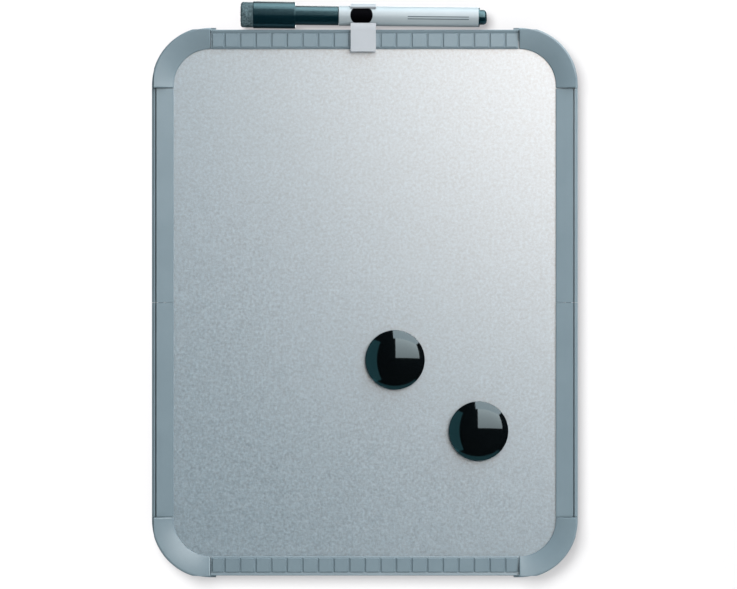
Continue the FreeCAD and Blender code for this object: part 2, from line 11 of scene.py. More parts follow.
import bpy
import numpy as np
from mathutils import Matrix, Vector


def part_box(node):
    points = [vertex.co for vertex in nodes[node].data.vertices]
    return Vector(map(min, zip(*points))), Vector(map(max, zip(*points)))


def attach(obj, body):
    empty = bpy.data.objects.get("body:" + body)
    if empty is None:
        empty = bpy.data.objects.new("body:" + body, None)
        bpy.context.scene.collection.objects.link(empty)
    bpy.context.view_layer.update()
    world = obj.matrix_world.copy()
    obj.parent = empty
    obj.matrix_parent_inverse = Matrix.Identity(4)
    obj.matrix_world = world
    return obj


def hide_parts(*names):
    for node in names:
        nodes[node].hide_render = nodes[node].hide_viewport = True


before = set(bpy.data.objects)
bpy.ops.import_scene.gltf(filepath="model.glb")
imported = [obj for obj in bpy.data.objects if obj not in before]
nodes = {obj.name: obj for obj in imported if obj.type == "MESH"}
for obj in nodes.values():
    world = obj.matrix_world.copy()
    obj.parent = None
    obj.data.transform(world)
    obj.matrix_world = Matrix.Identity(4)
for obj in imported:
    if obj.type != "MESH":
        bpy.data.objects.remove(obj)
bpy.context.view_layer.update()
MM = 0.001

# %% [markdown]
# The photograph looks almost straight at the board from far away, so the sides of the frame hardly show.
# A long lens at a metre and a half gives the same flat view. The picture's scale is known on the front of
# the frame, which fixes the focal length. The board sits a little left of and below the picture's middle,
# so the camera stands slightly to the right and higher, with no lens shift.

# %% Camera
PICTURE_WIDTH = 737
PIXELS_PER_METRE = 1974.0
FRAME_FRONT = -10.2 * MM
SENSOR_WIDTH = 36.0
EYE = Vector((1.85 * MM, -1.5, 4.1 * MM))
camera_data = bpy.data.cameras.new("camera")
camera_data.sensor_width = SENSOR_WIDTH
camera_data.lens = SENSOR_WIDTH * (FRAME_FRONT - EYE.y) * PIXELS_PER_METRE / PICTURE_WIDTH
camera = bpy.data.objects.new("camera", camera_data)
camera.location = EYE
camera.rotation_euler = (math.radians(90), 0, 0)
bpy.context.scene.collection.objects.link(camera)
bpy.context.scene.camera = camera
bpy.context.scene.view_settings.view_transform = "Standard"
print("lens", round(camera_data.lens, 1), "mm")

# %% [markdown]
# Every finish below is a small tree of shader nodes. Two short helpers keep those trees readable: one adds
# a node and fills or links its inputs, the other starts a material and hands back its tree and shader.


# %% Node helpers
def add(tree, kind, inputs=None, **settings):
    """Add a shader node; an input that is a socket is linked, any other value is set."""
    node = tree.nodes.new(f"ShaderNode{kind}")
    for name, value in settings.items():
        setattr(node, name, value)
    for name, value in (inputs or {}).items():
        if isinstance(value, bpy.types.NodeSocket):
            tree.links.new(value, node.inputs[name])
        else:
            node.inputs[name].default_value = value
    return node


def new_material(name, **values):
    """A material, its node tree and its Principled shader with the given plain values set."""
    material = bpy.data.materials.new(name)
    material.use_nodes = True
    shader = material.node_tree.nodes["Principled BSDF"]
    for socket, value in values.items():
        shader.inputs[socket.replace("_", " ")].default_value = value
    return material, material.node_tree, shader


print("node helpers ready")

# %% [markdown]
# A few recipes come back in almost every finish: a step of arithmetic, a weighted sum, a colour between two
# shades, a value carried from one range to another, and a bump. Named once, they let a finish be read as a
# list of what it is made of.


# %% Node recipes
def math_node(tree, operation, first, second=0.0):
    """One arithmetic step; either side may be a number or a socket."""
    return add(tree, "Math", {0: first, 1: second}, operation=operation).outputs[0]


def weighted(tree, first, share, second, other_share):
    """The sum of two values, each times its share."""
    return math_node(tree, "ADD", math_node(tree, "MULTIPLY", first, share),
                     math_node(tree, "MULTIPLY", second, other_share))


def blend_colours(tree, factor, first, second):
    """The colour between two others, by a factor that changes over the surface."""
    mix = add(tree, "Mix", {"Factor": factor}, data_type="RGBA")
    for socket, value in ((mix.inputs[6], first), (mix.inputs[7], second)):
        if isinstance(value, bpy.types.NodeSocket):
            tree.links.new(value, socket)
        else:
            socket.default_value = (*value, 1)
    return mix.outputs[2]


def between(tree, value, low, high, out_low=0.0, out_high=1.0):
    """Carry a value from one range to another, held at the ends."""
    inputs = {"Value": value, "From Min": low, "From Max": high, "To Min": out_low, "To Max": out_high}
    return add(tree, "MapRange", inputs, clamp=True).outputs["Result"]


def noise(tree, vector, scale, detail=2.0, roughness=0.5):
    """Smooth noise, as a value around one half."""
    inputs = {"Vector": vector, "Scale": scale, "Detail": detail, "Roughness": roughness}
    return add(tree, "TexNoise", inputs).outputs["Fac"]


def bumped(tree, shader, height, strength, distance):
    """Let a height that changes over the surface tilt the shader's normal."""
    bump = add(tree, "Bump", {"Height": height, "Strength": strength, "Distance": distance})
    tree.links.new(bump.outputs["Normal"], shader.inputs["Normal"])


print("node recipes ready")

# %% [markdown]
# The set is a white wall and a pale floor. The wall catches the soft shadow that the board throws to the
# right and downwards. It shows only to a camera in front of it, through the Backfacing test, and neither
# shades nor lights the board, so the back of the board stays in sight from behind. It is grey and glows a
# little, which keeps the floor's light on it weak beside its own lamp.


# %% Wall and floor
def flat_piece(name, corners):
    """One four-sided face through four corners, in order."""
    mesh = bpy.data.meshes.new(name)
    mesh.from_pydata(corners, [], [(0, 1, 2, 3)])
    thing = bpy.data.objects.new(name, mesh)
    bpy.context.scene.collection.objects.link(thing)
    return thing


FLOOR_Z, FLOOR_REACH = -0.21, 3.0
WALL_Y, WALL_REACH, WALL_TOP = 0.0006, 2.0, 1.6
wall = flat_piece("wall", [(-WALL_REACH, WALL_Y, FLOOR_Z), (WALL_REACH, WALL_Y, FLOOR_Z),
                           (WALL_REACH, WALL_Y, WALL_TOP), (-WALL_REACH, WALL_Y, WALL_TOP)])
wall_paint, tree, shader = new_material("wall_paint", Base_Color=(0.25, 0.25, 0.25, 1), Roughness=0.9,
                                        Specular_IOR_Level=0.0, Emission_Color=(1, 0.965, 0.98, 1),
                                        Emission_Strength=0.4)
seen_from_behind = add(tree, "NewGeometry").outputs["Backfacing"]
clear = add(tree, "BsdfTransparent").outputs["BSDF"]
one_sided = add(tree, "MixShader", {"Fac": seen_from_behind, 1: shader.outputs["BSDF"], 2: clear})
tree.links.new(one_sided.outputs["Shader"], tree.nodes["Material Output"].inputs["Surface"])
wall.data.materials.append(wall_paint)
wall.visible_shadow = False
wall.visible_diffuse = False
wall.visible_glossy = False
floor = flat_piece("floor", [(-FLOOR_REACH, -FLOOR_REACH, FLOOR_Z), (FLOOR_REACH, -FLOOR_REACH, FLOOR_Z),
                             (FLOOR_REACH, FLOOR_REACH, FLOOR_Z), (-FLOOR_REACH, FLOOR_REACH, FLOOR_Z)])
floor_paint = new_material("floor_paint", Base_Color=(0.8, 0.8, 0.79, 1), Roughness=0.85)[0]
floor.data.materials.append(floor_paint)
floor.visible_glossy = False
print("wall and floor made")

# %% [markdown]
# The room itself gives a weak, bluish light from all sides, so that no shadow is quite black. A glossy ray
# meets almost none of it, which keeps the magnets dark between the lamps. The camera sees it pale, as the
# ground of the picture beside the wall and the floor.

# %% World
SKY_COLOUR = (0.72, 0.93, 1.0, 1)
SKY_ON_MATT, SKY_IN_GLOSS, SKY_SEEN = 0.12, 0.006, 0.8
world = bpy.data.worlds.new("studio")
world.use_nodes = True
sky = world.node_tree.nodes["Background"]
sky.inputs["Color"].default_value = SKY_COLOUR
ray = add(world.node_tree, "LightPath").outputs
matt_or_glossy = between(world.node_tree, ray["Is Glossy Ray"], 0.0, 1.0, SKY_ON_MATT, SKY_IN_GLOSS)
seen = between(world.node_tree, ray["Is Camera Ray"], 0.0, 1.0, 0.0, SKY_SEEN)
strength = math_node(world.node_tree, "MAXIMUM", matt_or_glossy, seen)
world.node_tree.links.new(strength, sky.inputs["Strength"])
bpy.context.scene.world = world
print("sky on matt, in gloss and seen:", SKY_ON_MATT, SKY_IN_GLOSS, SKY_SEEN)

# %% [markdown]
# The magnets work as small round mirrors, and they show how the board was lit: one very large diffuser
# that starts almost beside the camera and runs far to the right and far up, a dim teal card on the left, and
# darkness elsewhere. The same diffuser brightens the sheet towards its upper right. It fades towards its
# lower edge, as a diffuser with its lamp high behind it does. A canopy carries it on over the board, a lamp
# right above lights what faces up, and a low card lifts what faces down. The shadow on the wall comes from
# a lamp of its own on the upper left, because the diffuser's shadow would fall the other way.


# %% Lamps
def softbox(name, place, target, size, radiance, colour=(1, 1, 1)):
    """A rectangular lamp facing a target; its power follows from its area and how bright it looks."""
    data = bpy.data.lights.new(name, "AREA")
    data.shape = "RECTANGLE"
    data.size, data.size_y = size
    data.color = colour
    data.energy = radiance * size[0] * size[1] * math.pi
    lamp = bpy.data.objects.new(name, data)
    lamp.location = place
    lamp.rotation_euler = (Vector(target) - Vector(place)).to_track_quat("-Z", "Y").to_euler()
    bpy.context.scene.collection.objects.link(lamp)
    return lamp


COOL, PALE_BLUE = (0.3, 0.9, 1.0), (0.8, 0.96, 1.0)
SKY_WHITE, WARM = (0.94, 0.98, 1.0), (1.0, 0.985, 0.97)
DIFFUSER_LEFT, DIFFUSER_RIGHT, DIFFUSER_LOW, DIFFUSER_HIGH, DIFFUSER_Y = 0.05, 2.4, 0.06, 1.6, -1.2
diffuser_size = (DIFFUSER_RIGHT - DIFFUSER_LEFT, DIFFUSER_HIGH - DIFFUSER_LOW)
diffuser_middle = Vector(((DIFFUSER_LEFT + DIFFUSER_RIGHT) / 2, DIFFUSER_Y,
                          (DIFFUSER_LOW + DIFFUSER_HIGH) / 2))
LEFT_CARD = {"place": (-0.9, -0.5, -0.15), "target": (0, 0, -0.15), "size": (0.6, 2.1), "radiance": 0.7}
diffuser = softbox("diffuser", diffuser_middle, diffuser_middle + Vector((0, 1, 0)), diffuser_size,
                   radiance=5.3, colour=WARM)
canopy = softbox("canopy", (1.15, -0.7, DIFFUSER_HIGH), (1.15, -0.7, 0), (2.5, 1.0), radiance=5.4,
                 colour=SKY_WHITE)
overhead = softbox("overhead", (0.05, 0.1, 1.05), (0.05, 0.1, 0), (1.3, 0.58), radiance=3.25,
                   colour=PALE_BLUE)
left_card = softbox("left_card", colour=PALE_BLUE, **LEFT_CARD)
low_card = softbox("low_card", (0, -0.12, -0.6), (0, 0, 0), (1.2, 0.2), radiance=0.55, colour=COOL)
magnet_card = softbox("magnet_card", colour=COOL, **LEFT_CARD)
softbox("back_diffuser", (0.5, 1.5, 0.8), (0, 0, 0), (1.2, 1.2), radiance=3.4)
wall_lamp = softbox("wall_lamp", (-0.4, -1.5, 0.52), (0, 0, 0), (0.85, 0.85), radiance=28)
print("lamps made; the diffuser measures", [round(side, 2) for side in diffuser_size], "m")

# %% [markdown]
# The fade is a node tree in the lamp. A lamp's Parametric coordinate runs from 0 to 1 over its face, so its
# second number says how high a point lies, and a range turns that into a factor for the brightness.

# %% Fade of the diffuser
FADE_LOW, FADE_HIGH = 0.7, 1.27
diffuser.data.use_nodes = True
tree = diffuser.data.node_tree
on_face = add(tree, "NewGeometry").outputs["Parametric"]
upwards = add(tree, "SeparateXYZ", {"Vector": on_face}).outputs["Y"]
factor = between(tree, upwards, 0.0, 1.0, FADE_LOW, FADE_HIGH)
tree.links.new(factor, tree.nodes["Emission"].inputs["Strength"])
print("diffuser fades from", FADE_HIGH, "above to", FADE_LOW, "below")

# %% [markdown]
# Light linking says which lamp lights which piece. The wall has its own lamp, so the front lamps leave it
# out. The two cards would tint the floor, so they leave that out as well, and the low card leaves out the
# cap, whose underside is nearly black. The teal card on the left is for the magnets alone, and they are
# linked where they are made: the sheet mirrors that side when it is seen from the right, and a teal card
# would colour it, so a pale one in the same place lights all the rest.


# %% Which lamp lights what
def linked_to(lamp, things, state):
    """Name the pieces that a lamp alone lights, state INCLUDE, or that it leaves out, state EXCLUDE."""
    linking = lamp.light_linking
    if linking.receiver_collection is None:
        linking.receiver_collection = bpy.data.collections.new(f"{lamp.name}_linked")
    for thing in things:
        linking.receiver_collection.objects.link(thing)
    for row in linking.receiver_collection.collection_objects:
        row.light_linking.link_state = state


linked_to(wall_lamp, [wall], "INCLUDE")
for lamp in (diffuser, canopy, overhead, left_card, low_card):
    linked_to(lamp, [wall], "EXCLUDE")
linked_to(left_card, [floor], "EXCLUDE")
linked_to(low_card, [floor, nodes["marker_cap"]], "EXCLUDE")
print("the wall has its own lamp; five front lamps leave it out")

# %% [markdown]
# Moulded plastic is never one flat colour. The mould's blasted steel leaves a fine grain, and the pigment
# is a little uneven. Several pieces here share that, so it is one node group: it puts out a fine height
# for the bump, a slow drift of tone for the colour, and a mask of faint rub marks for the roughness.


# %% Shared group: moulded grain
def new_group(name, inputs, outputs):
    """A shader node group with float or vector inputs and float outputs."""
    group = bpy.data.node_groups.new(name, "ShaderNodeTree")
    for label, kind, value in inputs:
        socket = group.interface.new_socket(label, in_out="INPUT", socket_type=kind)
        if value is not None:
            socket.default_value = value
    for label in outputs:
        group.interface.new_socket(label, in_out="OUTPUT", socket_type="NodeSocketFloat")
    return group, group.nodes.new("NodeGroupInput").outputs, group.nodes.new("NodeGroupOutput").inputs


moulded_grain, given, result = new_group(
    "moulded_grain",
    [("Vector", "NodeSocketVector", None), ("Grain", "NodeSocketFloat", 3500.0),
     ("Drift", "NodeSocketFloat", 40.0), ("Rub", "NodeSocketFloat", 500.0)],
    ["Height", "Tone", "Marks"])
fine = noise(moulded_grain, given["Vector"], given["Grain"], 3.0, 0.65)
slow = noise(moulded_grain, given["Vector"], given["Drift"], 4.0, 0.6)
streaks = add(moulded_grain, "Mapping", {"Vector": given["Vector"], "Scale": (0.06, 1.0, 1.0)}).outputs[0]
lines = noise(moulded_grain, streaks, given["Rub"], 2.0, 0.7)
moulded_grain.links.new(fine, result["Height"])
moulded_grain.links.new(weighted(moulded_grain, slow, 0.75, fine, 0.25), result["Tone"])
moulded_grain.links.new(between(moulded_grain, lines, 0.62, 0.74), result["Marks"])
print("group", moulded_grain.name, "made")

# %% [markdown]
# Most of the plastics differ only in colour, gloss and coarseness, so one function makes them all from the
# group: colour drifts between a darker and a lighter shade, roughness rises a little along the rub marks,
# and the grain tilts the normal.


# %% Moulded plastics
def grain_of(tree, **inputs):
    """Place the moulded grain in a material, read on the piece's own coordinates."""
    group = add(tree, "Group", node_tree=moulded_grain)
    tree.links.new(add(tree, "TexCoord").outputs["Object"], group.inputs["Vector"])
    for label, value in inputs.items():
        group.inputs[label].default_value = value
    return group.outputs


def moulded(name, dark, light, rough, rubbed, depth, grain_inputs=None, **values):
    """A moulded plastic: two shades, roughness plain and rubbed, grain depth in metres, plain values."""
    material, tree, shader = new_material(name, **values)
    grain = grain_of(tree, **(grain_inputs or {}))
    shade = blend_colours(tree, between(tree, grain["Tone"], 0.3, 0.7), dark, light)
    tree.links.new(shade, shader.inputs["Base Color"])
    tree.links.new(between(tree, grain["Marks"], 0.0, 1.0, rough, rubbed), shader.inputs["Roughness"])
    bumped(tree, shader, grain["Height"], 0.5, depth)
    return material


frame_plastic = moulded("frame_plastic", dark=(0.120, 0.162, 0.188), light=(0.138, 0.183, 0.21),
                        rough=0.33, rubbed=0.40, depth=0.04 * MM)
joiner_plastic = moulded("joiner_plastic", dark=(0.045, 0.05, 0.055), light=(0.065, 0.07, 0.075),
                         rough=0.55, rubbed=0.6, depth=0.05 * MM)
clip_plastic = moulded("clip_plastic", dark=(0.273, 0.289, 0.312), light=(0.304, 0.32, 0.345),
                       rough=0.33, rubbed=0.40, depth=0.02 * MM, grain_inputs={"Grain": 2500.0})
cap_plastic = moulded("cap_plastic", dark=(0.0003, 0.007, 0.011), light=(0.0007, 0.010, 0.0145),
                      rough=0.2, rubbed=0.26, depth=0.03 * MM, grain_inputs={"Grain": 4500.0},
                      IOR=1.72, Specular_Tint=(0.56, 0.92, 1.0, 1))
holder_plastic = moulded("holder_plastic", dark=(0.012, 0.015, 0.018), light=(0.022, 0.026, 0.03),
                         rough=0.5, rubbed=0.55, depth=0.04 * MM)
print("five moulded plastics made")

# %% [markdown]
# A finish goes on the construction pieces as they are. Their meshes stay, and only the plain material that
# they came with is exchanged. The frame's ten pieces share one plastic, and so do the cap and the end plug.


# %% Dress the moulded pieces
def dress(material, *names):
    """Give construction nodes a finish in place of the plain one they came with."""
    for name in names:
        mesh = nodes[name].data
        mesh.materials.clear()
        mesh.materials.append(material)
    print(material.name, "on", ", ".join(names))


dress(frame_plastic, "top_rail", "bottom_rail", "left_upper_rail", "left_lower_rail", "right_upper_rail",
      "right_lower_rail", "corner_top_left", "corner_top_right", "corner_bottom_left", "corner_bottom_right")
dress(joiner_plastic, "left_rail_joiner", "right_rail_joiner")
dress(clip_plastic, "marker_clip")
dress(cap_plastic, "marker_cap", "end_plug")
dress(holder_plastic, "nib_holder")

# %% [markdown]
# The writing sheet is steel with a silver lacquer. Flakes of aluminium lie in the lacquer at slightly
# different angles, so each one is a little brighter or darker than the next. Voronoi cells stand for the
# flakes: each cell's random colour gives a brightness. A softer noise gathers them into the faint grain that
# shows from afar, and another tilts the surface. The lacquer is blue-grey in itself, and its flakes reflect
# a little warm. A metallic shader would tint both alike, so a high refractive index stands for the flakes.
# Fairly rough, it spreads the diffuser's reflection wide.

# %% Silver lacquer
FLAKE_SCALE, CLOUD_SCALE, PEEL_SCALE = 2100.0, 700.0, 1500.0
DARK_LACQUER, LIGHT_LACQUER = (0.040, 0.129, 0.186), (0.158, 0.302, 0.392)
panel_paint, tree, shader = new_material("panel_paint", IOR=4.8, Specular_Tint=(0.99, 0.88, 0.82, 1))
place = add(tree, "TexCoord").outputs["Object"]
flakes = add(tree, "TexVoronoi", {"Vector": place, "Scale": FLAKE_SCALE}, feature="F1").outputs["Color"]
flake = add(tree, "SeparateColor", {"Color": flakes}).outputs["Red"]
cloud = noise(tree, place, CLOUD_SCALE, 2.0, 0.6)
speckle = between(tree, weighted(tree, flake, 0.5, cloud, 1.7), 0.65, 1.55)
tree.links.new(blend_colours(tree, speckle, DARK_LACQUER, LIGHT_LACQUER), shader.inputs["Base Color"])
tree.links.new(between(tree, flake, 0.0, 1.0, 0.38, 0.46), shader.inputs["Roughness"])
bumped(tree, shader, noise(tree, place, PEEL_SCALE, 2.0, 0.6), 0.2, 0.05 * MM)
dress(panel_paint, "writing_panel")

# %% [markdown]
# The back of the sandwich is a fibreboard core with a paper liner. Paper and fibreboard both show short
# fibres in all directions. Noise that is stretched along one axis gives fibres; three of them, turned
# against each other, give a felted sheet. The papers, the felts and the ink wick all use this group.


# %% Shared group: felted fibres
felted_fibres, given, result = new_group(
    "felted_fibres",
    [("Vector", "NodeSocketVector", None), ("Fineness", "NodeSocketFloat", 900.0),
     ("Stretch", "NodeSocketFloat", 0.12)],
    ["Height", "Tone"])
layers = []
for angles in ((0.4, 0.9, 0.2), (-0.7, -0.5, 1.1), (1.2, 0.1, -0.8)):
    swung = add(felted_fibres, "VectorRotate", {"Vector": given["Vector"], "Rotation": angles},
                rotation_type="EULER_XYZ").outputs["Vector"]
    parts = add(felted_fibres, "SeparateXYZ", {"Vector": swung}).outputs
    long_way = math_node(felted_fibres, "MULTIPLY", parts["X"], given["Stretch"])
    squeezed = add(felted_fibres, "CombineXYZ", {"X": long_way, "Y": parts["Y"], "Z": parts["Z"]}).outputs[0]
    layers.append(noise(felted_fibres, squeezed, given["Fineness"], 3.0, 0.6))
upper_two = math_node(felted_fibres, "MAXIMUM", layers[0], layers[1])
top = math_node(felted_fibres, "MAXIMUM", upper_two, layers[2])
felted_fibres.links.new(between(felted_fibres, top, 0.45, 0.75), result["Height"])
coarse = math_node(felted_fibres, "MULTIPLY", given["Fineness"], 0.6)
patches = between(felted_fibres, noise(felted_fibres, given["Vector"], coarse, 2.0), 0.3, 0.7)
tone = weighted(felted_fibres, between(felted_fibres, top, 0.4, 0.8), 0.6, patches, 0.4)
felted_fibres.links.new(tone, result["Tone"])
print("group", felted_fibres.name, "made")

# %% [markdown]
# Liner paper, fibreboard, the ink wick and the nib differ in their two shades and in how fine and long their
# fibres are. One function makes all four from the group, and later the felt and the ferrite as well.


# %% Papers, core and wick
def fibrous(name, dark, light, rough, depth, **inputs):
    """A felted material: two shades, a roughness and how deep the fibres stand, in metres."""
    material, tree, shader = new_material(name, Roughness=rough, Specular_IOR_Level=0.2)
    group = add(tree, "Group", node_tree=felted_fibres)
    tree.links.new(add(tree, "TexCoord").outputs["Object"], group.inputs["Vector"])
    for label, value in inputs.items():
        group.inputs[label].default_value = value
    tree.links.new(blend_colours(tree, group.outputs["Tone"], dark, light), shader.inputs["Base Color"])
    bumped(tree, shader, group.outputs["Height"], 0.6, depth)
    return material


liner_paper = fibrous("liner_paper", dark=(0.40, 0.37, 0.32), light=(0.54, 0.51, 0.46), rough=0.8,
                      depth=0.05 * MM, Fineness=700.0)
core_fibreboard = fibrous("core_fibreboard", dark=(0.20, 0.12, 0.06), light=(0.42, 0.29, 0.17), rough=0.85,
                          depth=0.2 * MM, Fineness=500.0)
reservoir_fibre = fibrous("reservoir_fibre", dark=(0.01, 0.012, 0.016), light=(0.05, 0.055, 0.06), rough=0.8,
                          depth=0.1 * MM, Fineness=1500.0, Stretch=0.05)
nib_felt = fibrous("nib_felt", dark=(0.006, 0.006, 0.01), light=(0.03, 0.03, 0.036), rough=0.75,
                   depth=0.08 * MM, Fineness=3000.0)
dress(liner_paper, "back_liner")
dress(core_fibreboard, "core_board")
dress(reservoir_fibre, "ink_reservoir")
dress(nib_felt, "nib")

# %% [markdown]
# The barrel is an extruded tube in silver plastic with two plain prints. A print follows the tube, so the
# material first turns the coordinates into the marker's own: the length along its axis and the distance
# round the tube, which is the angle about the axis times the radius.

# %% The barrel's own coordinates
MARKER_AXIS = Vector((-0.8 * MM, -7.1 * MM, 145.5 * MM))
MARKER_TILT = math.radians(0.6)
BARREL_RADIUS = 5.05 * MM
barrel_plastic, tree, shader = new_material("barrel_plastic")
grain = grain_of(tree, Grain=3000.0, Rub=900.0)
place = add(tree, "TexCoord").outputs["Object"]
moved = add(tree, "VectorMath", {0: place, 1: MARKER_AXIS}, operation="SUBTRACT").outputs["Vector"]
level = add(tree, "VectorRotate", {"Vector": moved, "Angle": -MARKER_TILT},
            rotation_type="Y_AXIS").outputs["Vector"]
parts = add(tree, "SeparateXYZ", {"Vector": level}).outputs
along_tube = parts["X"]
toward_viewer = math_node(tree, "MULTIPLY", parts["Y"], -1.0)
about_axis = math_node(tree, "ARCTAN2", parts["Z"], toward_viewer)
round_tube = math_node(tree, "MULTIPLY", about_axis, BARREL_RADIUS)
print("barrel axis through", [round(v, 4) for v in MARKER_AXIS])

# %% [markdown]
# One print is a black spot, which shows the ink colour through the clip, the other a pair of pinstripes. A
# band is where a value lies within half a width of its middle, so the spot is a band of the distance from
# its centre and a stripe one of the distance round the tube. The spot's ink is dead black: a metal without
# colour reflects nothing, so the shader is made metallic there.

# %% Marker barrel
SPOT_MIDDLE, SPOT_RADIUS = -0.9 * MM, 5.65 * MM
UPPER_STRIPE, LOWER_STRIPE, STRIPE_HALF = -0.5 * MM, -1.7 * MM, 0.22 * MM
STRIPES_MIDDLE, STRIPES_HALF_LENGTH = 38 * MM, 15.5 * MM
SILVER_DARK, SILVER_LIGHT = (0.258, 0.295, 0.318), (0.294, 0.331, 0.353)
STRIPE_INK, SPOT_INK = (0.05, 0.075, 0.085), (0.003, 0.003, 0.004)


def print_band(tree, value, middle, half_width, soft=0.06 * MM):
    """One where a value is within half a width of a middle, zero outside, with a soft edge."""
    away = math_node(tree, "ABSOLUTE", math_node(tree, "SUBTRACT", value, middle))
    return between(tree, away, half_width - soft, half_width + soft, 1.0, 0.0)


from_middle = math_node(tree, "SUBTRACT", along_tube, SPOT_MIDDLE)
squares = math_node(tree, "ADD", math_node(tree, "POWER", from_middle, 2.0),
                    math_node(tree, "POWER", round_tube, 2.0))
spot = print_band(tree, math_node(tree, "SQRT", squares), 0.0, SPOT_RADIUS)
pair = math_node(tree, "MAXIMUM", print_band(tree, round_tube, UPPER_STRIPE, STRIPE_HALF),
                 print_band(tree, round_tube, LOWER_STRIPE, STRIPE_HALF))
stripes = math_node(tree, "MULTIPLY", pair, print_band(tree, along_tube, STRIPES_MIDDLE, STRIPES_HALF_LENGTH))
silver = blend_colours(tree, between(tree, grain["Tone"], 0.3, 0.7), SILVER_DARK, SILVER_LIGHT)
striped = blend_colours(tree, stripes, silver, STRIPE_INK)
tree.links.new(blend_colours(tree, spot, striped, SPOT_INK), shader.inputs["Base Color"])
worn = between(tree, grain["Marks"], 0.0, 1.0, 0.34, 0.42)
tree.links.new(weighted(tree, worn, 1.0, spot, 0.4), shader.inputs["Roughness"])
tree.links.new(between(tree, spot, 0.0, 1.0, 0.15, 1.0), shader.inputs["Metallic"])
bumped(tree, shader, grain["Height"], 0.4, 0.02 * MM)
dress(barrel_plastic, "marker_barrel")

# %% [markdown]
# New pieces are surfaces worked out on a grid of two parameters. One function serves them all: it takes a
# grid of points, ring by ring, joins neighbours with four-sided faces, and closes the first and the last
# ring to a single point. It prints the volume, which is positive when the faces point outwards.


# %% Surfaces from grids
def signed_volume(triangles):
    """A sixth of the sum, over all triangles, of the first corner dotted with the cross of the others."""
    return np.einsum("ij,ij->", triangles[:, 0], np.cross(triangles[:, 1], triangles[:, 2])) / 6


def ring_faces(rings, around):
    """Quads between neighbouring rings of points, and the triangles that close both ends to a point each."""
    here = np.arange(around)
    there = (here + 1) % around
    base = np.arange(rings - 1)[:, None] * around
    quads = np.stack([base + here, base + there, base + around + there, base + around + here], axis=-1)
    first, last, tail = rings * around, rings * around + 1, (rings - 1) * around
    caps = np.concatenate([np.stack([there, here, np.full_like(here, first)], axis=-1),
                           np.stack([tail + here, tail + there, np.full_like(here, last)], axis=-1)])
    return quads.reshape(-1, 4), caps


def grid_piece(name, points, body, material, stands_for, sharp=40):
    """A closed skin through rings of points: ring i is points[i], the end rings close to their middles."""
    quads, caps = ring_faces(*points.shape[:2])
    flat = np.concatenate([points.reshape(-1, 3), points[[0, -1]].mean(axis=1)])
    mesh = bpy.data.meshes.new(name)
    mesh.from_pydata(flat.tolist(), [], quads.tolist() + caps.tolist())
    mesh.shade_smooth()
    mesh.set_sharp_from_angle(angle=math.radians(sharp))
    mesh.materials.append(material)
    piece = bpy.data.objects.new(name, mesh)
    bpy.context.scene.collection.objects.link(piece)
    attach(piece, body)
    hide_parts(*stands_for)
    triangles = np.concatenate([flat[quads[:, [0, 1, 2]]], flat[quads[:, [0, 2, 3]]], flat[caps]])
    print(name, len(mesh.polygons), "faces, volume", round(signed_volume(triangles) * 1e9, 1), "mm3")
    return piece


print("grids become closed pieces")

# %% [markdown]
# Round pieces are turned, as on a lathe: a profile of lengths and radii is carried round an axis. Profiles
# are made of straight runs and arcs, so an arc is a helper too.


# %% Turned profiles
def turned(profile, angles, origin, axis, side):
    """Turn (length, radius) about an axis: origin + axis * length + radius * (cos, sin) across the axis."""
    axis, side = np.array(axis), np.array(side)
    other = np.cross(axis, side)
    across = np.cos(angles)[:, None] * side + np.sin(angles)[:, None] * other
    return np.array(origin) + profile[:, None, :1] * axis + profile[:, None, 1:] * across


def arc(centre, radius, start, end, steps):
    """Points on an arc of a circle in the profile plane, from one angle to another, in degrees."""
    t = np.radians(np.linspace(start, end, steps))
    return np.stack([centre[0] + radius * np.cos(t), centre[1] + radius * np.sin(t)], axis=-1)


print("profiles can be turned")

# %% [markdown]
# Each magnet is a black glossy dome over a ferrite disc. Gloss shows every facet, so the dome is turned
# again here from a fine profile: the cap of a sphere, a small rounding into the rim, the rim, and the
# recess for the disc behind. The sphere follows from the dome's radius and rise, and the rounding touches
# both the sphere and the rim.

# %% Profile of a magnet
MAGNET_RADIUS, MAGNET_RIM, MAGNET_HEIGHT = 15.1 * MM, 2.0 * MM, 7.4 * MM
RECESS_RADIUS, RECESS_DEPTH = 10.1 * MM, 3.9 * MM
RIM_ROUND, RIM_CHAMFER = 0.45 * MM, 0.25 * MM
POLE = 0.2 * MM
rise = MAGNET_HEIGHT - MAGNET_RIM
sphere = (MAGNET_RADIUS ** 2 + rise ** 2) / (2 * rise)
sphere_middle = MAGNET_HEIGHT - sphere
round_out = MAGNET_RADIUS - RIM_ROUND
round_up = sphere_middle + math.sqrt((sphere - RIM_ROUND) ** 2 - round_out ** 2)
slope = math.degrees(math.atan2(round_out, round_up - sphere_middle))
dome_profile = np.concatenate([
    arc((sphere_middle, 0), sphere, 0.3, slope, 60),
    arc((round_up, round_out), RIM_ROUND, slope, 90, 8)[1:],
    [(RIM_CHAMFER, MAGNET_RADIUS), (0, MAGNET_RADIUS - RIM_CHAMFER), (0, RECESS_RADIUS),
     (RECESS_DEPTH, RECESS_RADIUS), (RECESS_DEPTH, POLE)],
])
print("dome: sphere of", round(sphere / MM, 2), "mm, steepest slope", round(slope, 1), "degrees")

# %% [markdown]
# The plastic is nearly black and very smooth, with the faintest waviness, so that the diffuser shows in it
# as a window. The profile is turned from the recess to the top, which makes the faces point outwards.

